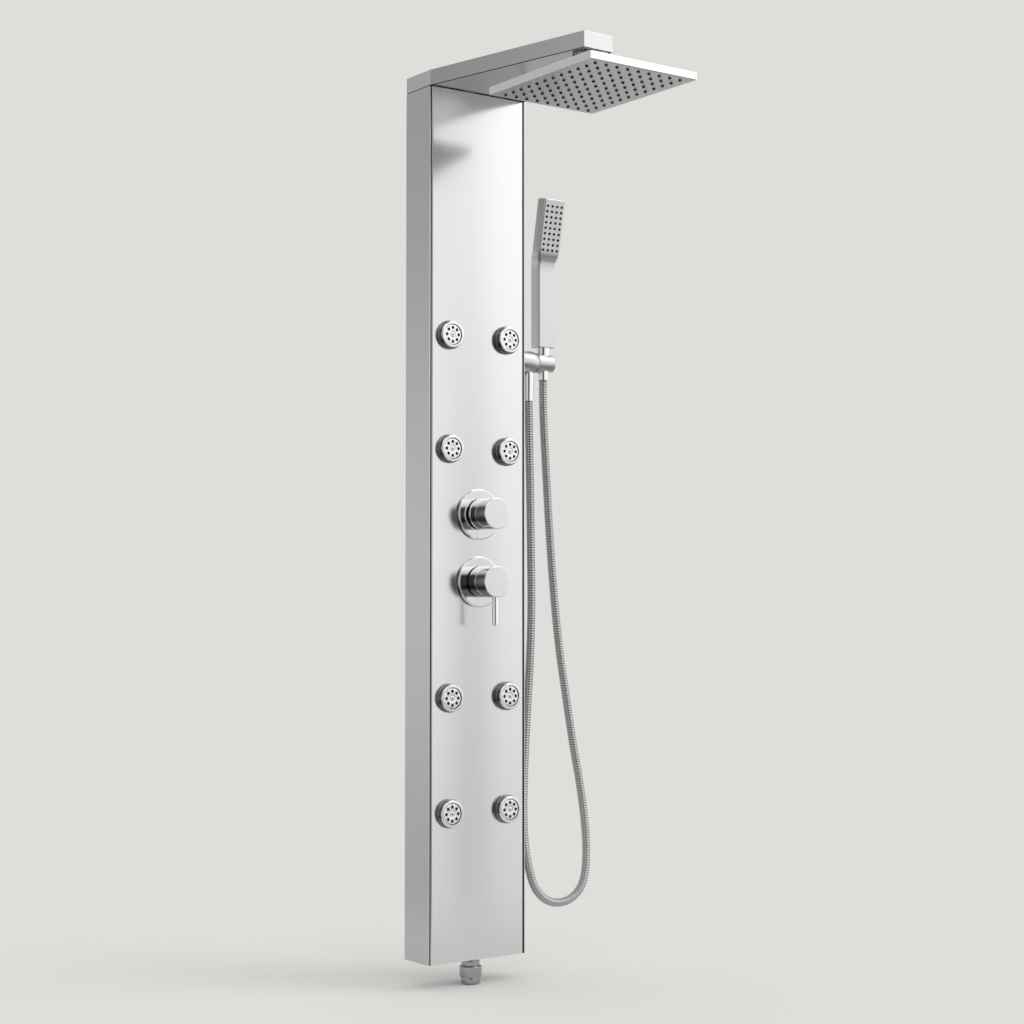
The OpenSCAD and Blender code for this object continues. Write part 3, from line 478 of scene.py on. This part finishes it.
# %% Hose pieces
HOSE_SPLIT_Z = 0.080
SAME_PLACE = 1e-6


def hose_piece(name, line):
    ribs.set("Ribs", round(length_of(line) / RIB_PITCH))
    return grown(name, line_carrier(name + "_path", line), ribs)


split = max(i for i, point in enumerate(hose_line) if point.z <= HOSE_SPLIT_Z + SAME_PLACE)
long_line, top_line = hose_line[:split + 1], hose_line[split:]
hose = hose_piece("shower_hose", long_line)
hose_top = hose_piece("shower_hose_top", top_line)
print("hose faces:", len(hose.data.polygons), "and", len(hose_top.data.polygons))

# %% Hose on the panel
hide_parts("hose")
for piece, line in [(hose, long_line), (hose_top, top_line)]:
    length_of(line)
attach(hose, "panel")
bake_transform(hose_top)

# %% [markdown]
# Bent edges and clean shading
#
# A solid from CAD arrives as loose triangles, and a folded sheet never ends in a knife edge. So the pieces
# that catch the light are copied: the copy's points are merged, the long edges of a folded one get a bend
# radius of a few tenths of a millimetre, and only edges that are really sharp break the shading. The copy
# stands for the solid, at the same place and on the same body.

# %% Refined copies
body_of = {node: body for body, group in frame["record"]["behaviour"]["bodies"].items() for node in group}
BENT = {
    "arm_shell": 0.0007, "arm_underplate": 0.0004, "head_cover": 0.0007,
    "bottom_cap": 0.0004, "holder_base": 0.0, "holder_swivel": 0.0,
}
TURNED = ["diverter_rose", "mixer_rose", "diverter_knob", "mixer_knob", "mixer_lever", "union_neck", "union_nut",
          "swivel_socket", "head_ball", "hose_cone_nut", "head_plate", "diverter_valve", "mixer_valve"]
TURNED += ["jet_bezel_%d" % n for n in range(1, 9)] + ["jet_insert_%d" % n for n in range(1, 9)]
LONG_EDGE = 0.02
FOLD = math.radians(40)
MERGE = 2e-6
WIDEST_FACES_FIRST = 100


def clean_shading(piece, sharp=34):
    """Smooth shading that breaks at sharp edges, in degrees, and stays flat on the wide faces."""
    piece.data.shade_smooth()
    piece.data.set_sharp_from_angle(angle=math.radians(sharp))
    weigh = piece.modifiers.new("weigh", "WEIGHTED_NORMAL")
    weigh.weight = WIDEST_FACES_FIRST
    weigh.keep_sharp = True
    graph = bpy.context.evaluated_depsgraph_get()
    piece.data = bpy.data.meshes.new_from_object(piece.evaluated_get(graph), depsgraph=graph)
    piece.modifiers.clear()


def refined(node, bend):
    """A merged copy of a solid, with bent long edges and clean shading."""
    solid = nodes[node]
    form = bmesh.new()
    form.from_mesh(solid.data)
    bmesh.ops.remove_doubles(form, verts=form.verts, dist=MERGE)
    if bend:
        edges = [e for e in form.edges if len(e.link_faces) == 2 and e.calc_length() > LONG_EDGE
                 and e.calc_face_angle() > FOLD]
        bmesh.ops.bevel(form, geom=edges, offset=bend, offset_type="OFFSET", segments=3, profile=0.5,
                        affect="EDGES", clamp_overlap=False)
    bmesh.ops.triangulate(form, faces=[f for f in form.faces if len(f.verts) > 4])
    mesh = bpy.data.meshes.new(node + "_fine")
    form.to_mesh(mesh)
    form.free()
    piece = bpy.data.objects.new(node + "_fine", mesh)
    bpy.context.scene.collection.objects.link(piece)
    clean_shading(piece)
    dress(piece, BY_NODE.get(node, BY_SLOT[slot_of[node]]))
    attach(piece, body_of[node])
    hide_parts(node)
    return piece


for node_name in list(BENT) + TURNED:
    fine = refined(node_name, BENT.get(node_name, 0.0))
    if node_name in BENT:
        print(fine.name, "faces:", len(fine.data.polygons))
print("refined copies:", len(BENT) + len(TURNED))

# %% [markdown]
# Hand shower body
#
# The hand shower is a die-cast bar whose handle widens at the shoulder and leans forward into the spray
# head, with rounded corners all along. It is built as a tool maker would draw it: a rounded rectangle for each
# station along the bar, every one with its own size, place and lean, and a skin stretched over the stations.

# %% Hand shower body
LEAN_DEGREES = 11
LEAN = math.radians(LEAN_DEGREES)
HAND_X = 0.152
SHOULDER_Y = -49.0
SHOULDER_Z = 1150.0
STATIONS = [  # middle y, z from the bottom, lean in degrees, width, depth, corner, in millimetres
    (-42.0, 997.0, 0, 31.6, 21.6, 2.0), (-42.0, 997.3, 0, 33.2, 23.2, 2.6), (-42.0, 998.3, 0, 34.0, 24.0, 3.0),
    (-42.0, 1040, 0, 34.0, 24.0, 3.0), (-42.0, 1085, 0, 34.0, 24.0, 3.0), (-42.0, 1122, 0, 34.0, 24.0, 3.0),
    (-42.3, 1133, 2, 34.1, 24.5, 3.0), (-43.1, 1140, 5, 34.8, 24.9, 3.2), (-44.3, 1144, 7, 36.4, 24.7, 3.5),
    (-46.0, 1148, 9, 39.2, 24.0, 3.8), (-47.8, 1152, 10, 41.8, 23.1, 3.8),
]
SPRAY_STATIONS = [  # distance along the spray head, width, depth, corner
    (7.5, 42.9, 22.2, 3.4), (16, 43.0, 22.0, 3.0), (45, 43.0, 22.0, 3.0), (75, 43.0, 22.0, 3.0),
    (95.0, 43.0, 22.0, 3.0), (96.2, 42.2, 21.2, 2.7), (96.8, 41.0, 20.0, 2.3), (97.0, 39.4, 18.4, 1.8),
]
for along, width, depth_mm, corner in SPRAY_STATIONS:
    STATIONS.append((SHOULDER_Y - along * math.sin(LEAN), SHOULDER_Z + along * math.cos(LEAN), LEAN_DEGREES,
                     width, depth_mm, corner))


def rounded_rectangle(width, depth_mm, corner, steps=6):
    """Points of a rounded rectangle about the middle, in millimetres."""
    points = []
    for quarter, (sx, sy) in enumerate([(1, 1), (-1, 1), (-1, -1), (1, -1)]):
        for k in range(steps + 1):
            a = math.pi / 2 * (quarter + k / steps)
            points.append((sx * (width / 2 - corner) + corner * math.cos(a),
                           sy * (depth_mm / 2 - corner) + corner * math.sin(a)))
    return points


form = bmesh.new()
rings = []
for middle_y, high, lean, width, depth_mm, corner in STATIONS:
    a = math.radians(lean)
    ring = []
    for px, py in rounded_rectangle(width, depth_mm, corner):
        ring.append(form.verts.new((HAND_X + px / 1000, (middle_y + py * math.cos(a)) / 1000,
                                    (high + py * math.sin(a)) / 1000 - COLUMN_H / 2)))
    rings.append(ring)
for a, b in zip(rings, rings[1:]):
    for k in range(len(a)):
        m = (k + 1) % len(a)
        form.faces.new((a[k], a[m], b[m], b[k]))
form.faces.new(rings[0][::-1])
form.faces.new(rings[-1])
bmesh.ops.recalc_face_normals(form, faces=form.faces)
hand_mesh = bpy.data.meshes.new("hand_shower_body")
form.to_mesh(hand_mesh)
form.free()
hand_body = bpy.data.objects.new("hand_shower_body", hand_mesh)
bpy.context.scene.collection.objects.link(hand_body)
clean_shading(hand_body)
dress(hand_body, satin_handset)
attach(hand_body, "hand_shower")
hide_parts("handset_shell")

# %% [markdown]
# Soft nozzles
#
# The rain head has 108 soft nozzles that poke through its spray plate, and the hand shower has 36. Each is a
# short silicone cone with a small hole, moulded on one mat behind the plate. One cone is turned from its
# profile, and Geometry Nodes places it on every point of a grid, so one number changes the whole pattern.

# %% Turned shapes
def turned(name, profile, sides=12):
    """A mesh turned about Z from points (radius, height) in millimetres; a first or last radius of 0 closes it."""
    form = bmesh.new()
    rings = []
    for radius_mm, height_mm in profile:
        if radius_mm == 0:
            rings.append([form.verts.new((0, 0, height_mm / 1000))])
            continue
        turn = [2 * math.pi * k / sides for k in range(sides)]
        rings.append([form.verts.new((math.cos(a) * radius_mm / 1000, math.sin(a) * radius_mm / 1000,
                                      height_mm / 1000)) for a in turn])
    for a, b in zip(rings, rings[1:]):
        for k in range(sides):
            m = (k + 1) % sides
            if len(a) == 1:
                form.faces.new((a[0], b[k], b[m]))
            elif len(b) == 1:
                form.faces.new((a[k], b[0], a[m]))
            else:
                form.faces.new((a[k], b[k], b[m], a[m]))
    bmesh.ops.recalc_face_normals(form, faces=form.faces)
    mesh = bpy.data.meshes.new(name)
    form.to_mesh(mesh)
    form.free()
    mesh.shade_smooth()
    return bpy.data.objects.new(name, mesh)


def scattered(name, template, pattern, at, tilt, finish, mat=None):
    """One mesh with the template on every point of a pattern, set at a place and tilted about X.

    A pattern is ("grid", width, depth, columns, rows) or ("ring", radius, count). A mat, given by its size
    and its height, is the sheet on which the templates are moulded.
    """
    tree = Tree(name)
    if pattern[0] == "grid":
        points = tree.node("GeometryNodeMeshGrid", None, {
            "Size X": tree.number("Width", pattern[1]), "Size Y": tree.number("Depth", pattern[2]),
            "Vertices X": tree.number("Columns", pattern[3], "NodeSocketInt"),
            "Vertices Y": tree.number("Rows", pattern[4], "NodeSocketInt")})
    else:
        points = tree.node("GeometryNodeMeshCircle", None, {
            "Vertices": tree.number("Count", pattern[2], "NodeSocketInt"),
            "Radius": tree.number("Ring radius", pattern[1])})
    shape = tree.node("GeometryNodeObjectInfo", None, {"Object": template}, out="Geometry")
    placed = tree.node("GeometryNodeInstanceOnPoints", None, {"Points": points, "Instance": shape})
    if mat:
        slab = tree.node("GeometryNodeMeshCube", None, {"Size": mat[0]})
        slab = tree.node("GeometryNodeTransform", None, {"Geometry": slab, "Translation": (0, 0, mat[1])})
        both = tree.group.nodes.new("GeometryNodeJoinGeometry")
        tree.group.links.new(placed, both.inputs[0])
        tree.group.links.new(slab, both.inputs[0])
        placed = both.outputs[0]
    moved = tree.node("GeometryNodeTransform", None,
                      {"Geometry": placed, "Translation": at, "Rotation": (tilt, 0, 0)})
    tree.finish(moved, finish)
    carrier = bpy.data.objects.new(name + "_carrier", bpy.data.meshes.new(name + "_carrier"))
    return grown(name, carrier, tree)


# %% Rain head nozzles
HEAD_AT = (0, -0.368, 1.346 - COLUMN_H / 2)
HEAD_GRID = ("grid", 0.160, 0.220, 9, 12)
HEAD_MAT = ((0.193, 0.243, 0.002), 0.0025)
head_cone = turned("head_cone", [(0, 0.6), (2.6, 0.6), (2.6, -0.3), (2.5, -0.7), (2.15, -1.7), (1.9, -2.0),
                                 (0.9, -2.0), (0.7, -1.2), (0, -1.2)])
head_cones = scattered("rain_nozzles", head_cone, HEAD_GRID, HEAD_AT, 0, nozzle_rubber, mat=HEAD_MAT)
bpy.data.objects.remove(head_cone)
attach(head_cones, "rain_head")
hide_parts("head_nozzles")

# %% Hand shower nozzles
spray_cone = turned("spray_cone", [(0, 3.0), (2.3, 3.0), (2.3, 0), (2.2, -0.5), (1.9, -1.1), (1.7, -1.2),
                                   (0.8, -1.2), (0.7, -0.5), (0, -0.5)])
SPRAY_GRID = ("grid", 0.0288, 0.073, 4, 9)
FACE_Y, FACE_Z = -0.011, 0.0485
spray_at = (HAND_X, SHOULDER_Y / 1000 + FACE_Y * math.cos(LEAN) - FACE_Z * math.sin(LEAN),
            SHOULDER_Z / 1000 - COLUMN_H / 2 + FACE_Y * math.sin(LEAN) + FACE_Z * math.cos(LEAN))
spray_cones = scattered("hand_nozzles", spray_cone, SPRAY_GRID, spray_at, LEAN - math.pi / 2, nozzle_rubber)
bpy.data.objects.remove(spray_cone)
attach(spray_cones, "hand_shower")
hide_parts("handset_nozzles")

# %% [markdown]
# Hose ferrule
#
# Where the hose leaves the outlet, a long tapered sleeve is crimped round it, so that the hose bends softly
# instead of at the edge of the fitting. It is one more turned shape, wider at the outlet than at the hose.

# %% Ferrule
sleeve = turned("hose_sleeve", [(7.15, 906), (7.45, 905.4), (7.75, 906), (7.85, 908), (9.1, 944), (9.3, 948),
                                (9.1, 950.4), (8.1, 951), (8.0, 958.8), (7.15, 958.8), (7.15, 906)], sides=48)
hose_x, hose_y, _ = ROUTE[0]
for vertex in sleeve.data.vertices:
    vertex.co += Vector((hose_x, hose_y, -COLUMN_H / 2))
bpy.context.scene.collection.objects.link(sleeve)
clean_shading(sleeve, 40)
dress(sleeve, chrome)
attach(sleeve, "panel")
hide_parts("hose_ferrule")

# %% [markdown]
# Cups in the body jets
#
# Every jet insert has eight holes round its face, and each hole holds a small black rubber cup, which keeps
# lime out. They sit a hair below the polished face and tilt with the insert, so each jet gets its own ring
# of cups on its own body.

# %% Jet cups
JET_FACE_Y = -0.0805
JET_SIDE = 0.0565
JET_HEIGHTS = (1.000, 0.817, 0.419, 0.236)
CUP_RING = ("ring", 0.0112, 8)
jet_places = [(side * JET_SIDE, height) for height in JET_HEIGHTS for side in (-1, 1)]
cup = turned("cup", [(0, 3.2), (2.55, 3.2), (2.55, 0.25), (2.4, 0.05), (1.9, 0.1), (1.25, 0.7), (1.0, 1.8), (0, 1.8)])
for number, (jet_x, jet_z) in enumerate(jet_places, 1):
    cups = scattered("jet_cups_%d" % number, cup, CUP_RING, (jet_x, JET_FACE_Y, jet_z - COLUMN_H / 2),
                     -math.pi / 2, nozzle_rubber)
    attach(cups, "jet_%d" % number)
bpy.data.objects.remove(cup)

# %% [markdown]
# The studio
#
# Metal shows its surroundings, so the world is painted by direction: bright in front of the plate, grey behind
# it, and dark on a card beside the camera, which puts the dark streaks along every round chrome piece. A
# direction has a turn, in degrees from straight in front of the plate and positive to the right, and a rise,
# from -1 straight down to 1 straight up.

# %% Directions
world = bpy.data.worlds.new("studio")
bpy.context.scene.world = world
world.use_nodes = True
sky = Graph(world.node_tree)
way_x, way_y, rise = sky.split(sky.node("ShaderNodeTexCoord", out="Generated"))
turn = sky.node("ShaderNodeMath", {"operation": "ARCTAN2"}, {0: way_x, 1: way_y * -1}) * (180 / math.pi)


def ramp(value, low, high, at_low=0.0, at_high=1.0):
    """A smooth step from one level to another."""
    if low > high:
        low, high, at_low, at_high = high, low, at_high, at_low
    return sky.node("ShaderNodeMapRange", {"interpolation_type": "SMOOTHSTEP"},
                    {0: value, 1: low, 2: high, 3: at_low, 4: at_high})


def band(value, middle, half_width, soft):
    """1 inside a band and 0 outside it, with soft sides."""
    off = sky.node("ShaderNodeMath", {"operation": "ABSOLUTE"}, {0: value - middle})
    return ramp(off, half_width - soft, half_width + soft, 1.0, 0.0)


print("directions ready")

# %% [markdown]
# Light by direction
#
# Each patch of light is a product of ramps and bands, whose ends are named here. A ramp is given by its two
# ends, and where needed by its two levels, and a band by its middle, its half width and its softness. The
# levels were set until the plate, the side and the chrome had the tones of the photograph.

# %% Light in front
FLOOR_GLOW = (-0.37, -0.19, 0.30, 1.0)
HORIZON_GLOW = (-0.20, 0.02, 0.74, 0.98)
HIGH_RIGHT_RISE, HIGH_RIGHT_TURN, HIGH_RIGHT_GAIN = (0.0, 0.24), (27, 40), 0.26
DIP_TURN, DIP_RISE, DIP_DEPTH, DIP_FLOOR = (33.5, 3.0, 2.5), (-0.02, 0.12, 0.10), 0.24, 0.10
LEFT_FADE = (-70, -52, 0.50, 1.0)
low_front = ramp(rise, *FLOOR_GLOW) * ramp(rise, *HORIZON_GLOW)
high_right = ramp(rise, *HIGH_RIGHT_RISE) * ramp(turn, *HIGH_RIGHT_TURN) * HIGH_RIGHT_GAIN
dip = band(turn, *DIP_TURN) * (band(rise, *DIP_RISE) * DIP_DEPTH + DIP_FLOOR)
front = (low_front + high_right - dip) * ramp(turn, *LEFT_FADE)
print("front light ready")

# %% Light behind and above
BACK_RISE, BACK_GAIN, BACK_TONE = (0.01, 0.10, 0.12), 0.30, 0.44
ARM_SIDE_TURN, ARM_SIDE_RISE, ARM_SIDE_SHADE = (-129, 9, 5), (0.08, 0.2), 0.4
BEHIND = (-0.15, 0.25)
ABOVE, ABOVE_TONE = (0.35, 0.75), 0.76
arm_side = band(turn, *ARM_SIDE_TURN) * ramp(rise, *ARM_SIDE_RISE) * ARM_SIDE_SHADE
back = (band(rise, *BACK_RISE) * BACK_GAIN + BACK_TONE) * (1 - arm_side)
behind = ramp(way_y, *BEHIND)
above = ramp(rise, *ABOVE)
print("back light ready")

# %% Dark card
CARD_CORE, CORE_DARK = (-30, 13, 9), 0.50
CARD_HALO, HALO_DARK = (-30, 29, 8), 0.47
CARD_RISE = (-0.05, 0.60, 0.14)
PIT_TURN, PIT_RISE, PIT_DARK = (2, 20, 6), (-0.14, -0.24), 0.55
card = (band(turn, *CARD_CORE) * CORE_DARK + band(turn, *CARD_HALO) * HALO_DARK) * band(rise, *CARD_RISE)
pit = band(turn, *PIT_TURN) * ramp(rise, *PIT_RISE) * PIT_DARK
dark = sky.node("ShaderNodeMath", {"operation": "MAXIMUM"}, {0: card, 1: pit})
level = ((front * (1 - behind) + back * behind) * (1 - above) + above * ABOVE_TONE) * (1 - dark)
print("dark card ready")

# %% [markdown]
# What each ray sees
#
# The camera sees a flat, pale backdrop. Mirrored rays see the painted studio, and all other rays an even grey,
# so that dull surfaces are lit softly from all sides. View transform Standard keeps the tones as they are.

# %% World
PALE = (0.745, 0.730, 0.708)
NEUTRAL = (0.75, 0.75, 0.75)
POWER = 1.5
AMBIENT = 1.15
seen, glossy, through = (sky.node("ShaderNodeLightPath", out=kind)
                         for kind in ("Is Camera Ray", "Is Glossy Ray", "Is Transmission Ray"))
shown = sky.node("ShaderNodeMath", {"operation": "MAXIMUM"}, {0: glossy, 1: through})
backdrop = sky.node("ShaderNodeBackground", None, {"Color": (*PALE, 1), "Strength": 1.0})
studio = sky.node("ShaderNodeBackground", None,
                  {"Color": (*NEUTRAL, 1), "Strength": shown * level * POWER + (1 - shown) * AMBIENT})
mixed = sky.node("ShaderNodeMixShader", None, {0: seen, 1: studio, 2: backdrop})
sky.node("ShaderNodeOutputWorld", None, {"Surface": mixed})
bpy.context.scene.view_settings.view_transform = "Standard"
print("world nodes:", len(world.node_tree.nodes))

# %% [markdown]
# Floor
#
# The floor lies just below the column and takes its soft shadow. Farther out it fades into the backdrop, by a
# mix with a transparent shader, so that no horizon shows.

# %% Floor
FLOOR_Z = cad_box[0][2] - 0.0005
FLOOR_HALF = 12
FLOOR_COLOUR = (0.80, 0.785, 0.765)
FADE_START, FADE_END = 0.80, 1.25
corners = [(x * FLOOR_HALF, y * FLOOR_HALF, FLOOR_Z) for x, y in ((-1, -1), (1, -1), (1, 1), (-1, 1))]
floor_mesh = bpy.data.meshes.new("floor")
floor_mesh.from_pydata(corners, [], [(0, 1, 2, 3)])
floor = bpy.data.objects.new("floor", floor_mesh)
bpy.context.scene.collection.objects.link(floor)
floor_material, ground = material("pale_floor")
where = ground.node("ShaderNodeTexCoord", out="Object")
distance = ground.node("ShaderNodeVectorMath", {"operation": "LENGTH"}, {0: where}, out="Value")
near = ground.node("ShaderNodeMapRange", {"interpolation_type": "SMOOTHSTEP"},
                   {0: distance, 1: FADE_START, 2: FADE_END, 3: 1.0, 4: 0.0})
matte = ground.node("ShaderNodeBsdfDiffuse", None, {"Color": (*FLOOR_COLOUR, 1)})
clear = ground.node("ShaderNodeBsdfTransparent")
blended = ground.node("ShaderNodeMixShader", None, {0: near, 1: clear, 2: matte})
ground.node("ShaderNodeOutputMaterial", None, {"Surface": blended})
dress(floor, floor_material)
print("floor at", round(FLOOR_Z, 4))

# %% [markdown]
# Key light
#
# One broad sun from the upper right throws the soft shadows of the rain head and the knobs on the plate.

# %% Lamp
KEY_ENERGY = 0.45
KEY_ANGLE = math.radians(28)
KEY_FROM = (0.75, -0.75, 1.1)
key_data = bpy.data.lights.new("key", "SUN")
key_data.energy = KEY_ENERGY
key_data.angle = KEY_ANGLE
key = bpy.data.objects.new("key", key_data)
key.rotation_euler = Vector(KEY_FROM).to_track_quat("Z", "Y").to_euler()
bpy.context.scene.collection.objects.link(key)
print("key light from", KEY_FROM)
